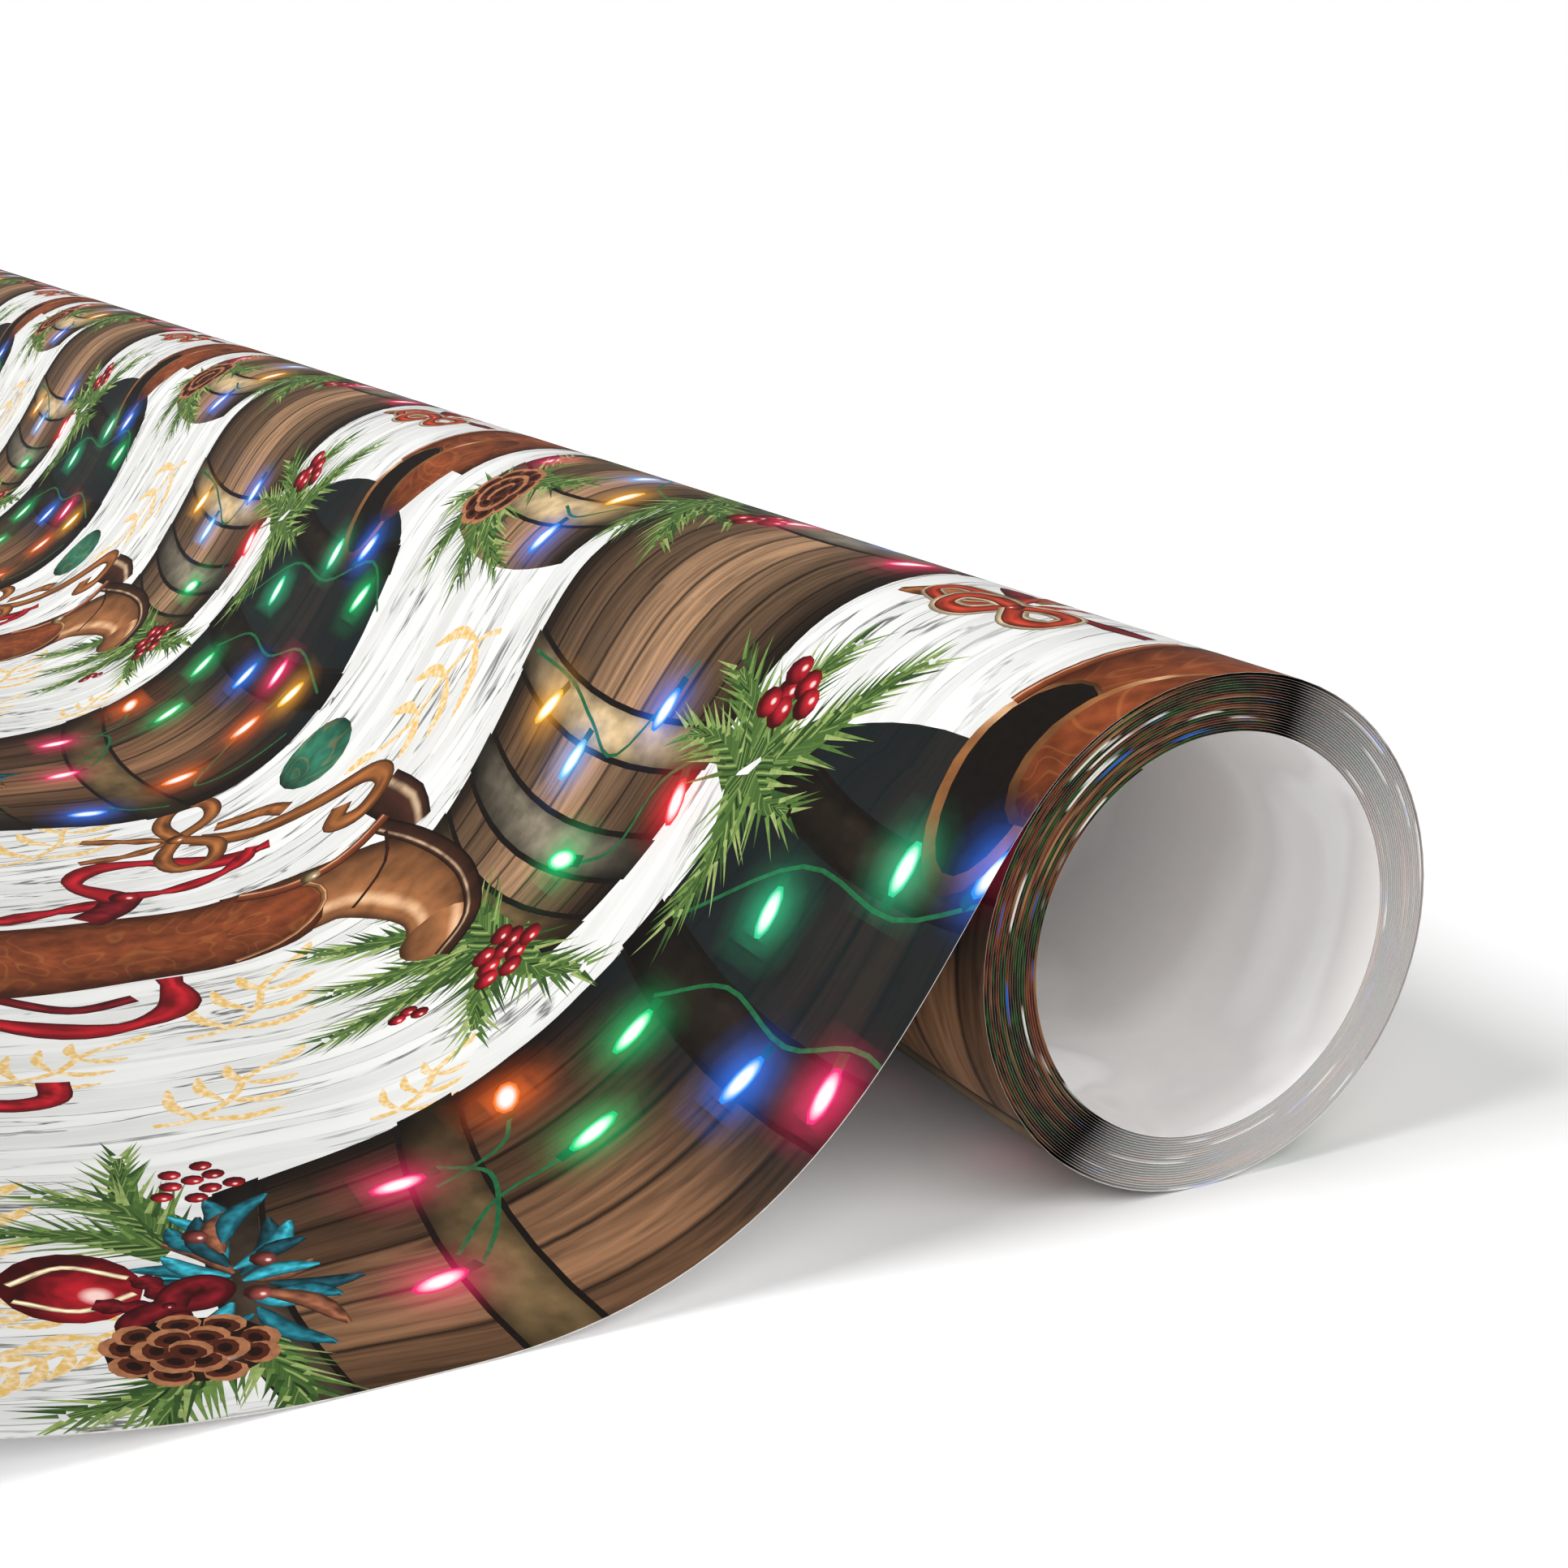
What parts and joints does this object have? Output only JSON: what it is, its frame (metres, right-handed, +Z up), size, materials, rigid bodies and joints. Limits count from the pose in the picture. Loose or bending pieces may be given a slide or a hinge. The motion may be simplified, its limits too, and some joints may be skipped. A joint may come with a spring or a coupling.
{
  "type": "wrapping paper roll",
  "caption": "Coreless roll of printed gift wrapping paper, lying on its side with its loose end drawn off the top and laid out in a low wave.",
  "frame": {"origin": "on the floor, at the middle of the whole outline", "axes": "+Z up, the roll's axis along Y, and the sheet drawn off towards -X"},
  "size_m": [0.1674, 0.7, 0.0299],
  "materials": {
    "printed_paper": "satin coated paper, printed on its outer face in browns, greens, reds and white, plain white on its back",
    "wound_paper": "the same paper wound up, of which the white back and the cut edges show"
  },
  "bodies": {
    "wrap": {"outer_wrap": "printed_paper", "lead_01": "printed_paper", "lead_02": "printed_paper", "lead_03": "printed_paper"},
    "coil": {"turn_01": "wound_paper", "turn_02": "wound_paper", "turn_03": "wound_paper", "turn_04": "wound_paper", "turn_05": "wound_paper", "turn_06": "wound_paper", "turn_07": "wound_paper", "turn_08": "wound_paper", "turn_09": "wound_paper", "turn_10": "wound_paper", "turn_11": "wound_paper", "turn_12": "wound_paper", "turn_13": "wound_paper", "turn_14": "wound_paper", "turn_15": "wound_paper", "turn_16": "wound_paper", "turn_17": "wound_paper", "turn_18": "wound_paper", "turn_19": "wound_paper", "turn_20": "wound_paper", "turn_21": "wound_paper", "turn_22": "wound_paper"},
    "sheet": {"laid_sheet": "printed_paper"},
    "end": {"free_end": "printed_paper"}
  },
  "joints": [
    {"name": "coil_turn", "type": "hinge", "parent": "wrap", "child": "coil", "pos_m": [0.06878, 0, 0.01492], "axis": [0, -1, 0], "range_deg": [0, 90]},
    {"name": "sheet_pull", "type": "slide", "parent": "wrap", "child": "sheet", "axis": [-1, 0, 0], "range_m": [0, 0.0236]},
    {"name": "free_end_lift", "type": "hinge", "parent": "sheet", "child": "end", "pos_m": [-0.03173, 0, 0.00904], "axis": [0, 1, 0], "range_deg": [0, 60]}
  ],
  "couplings": [
    {"joint": "sheet_pull", "follows": "coil_turn", "m_per_rad": 0.015}
  ]
}
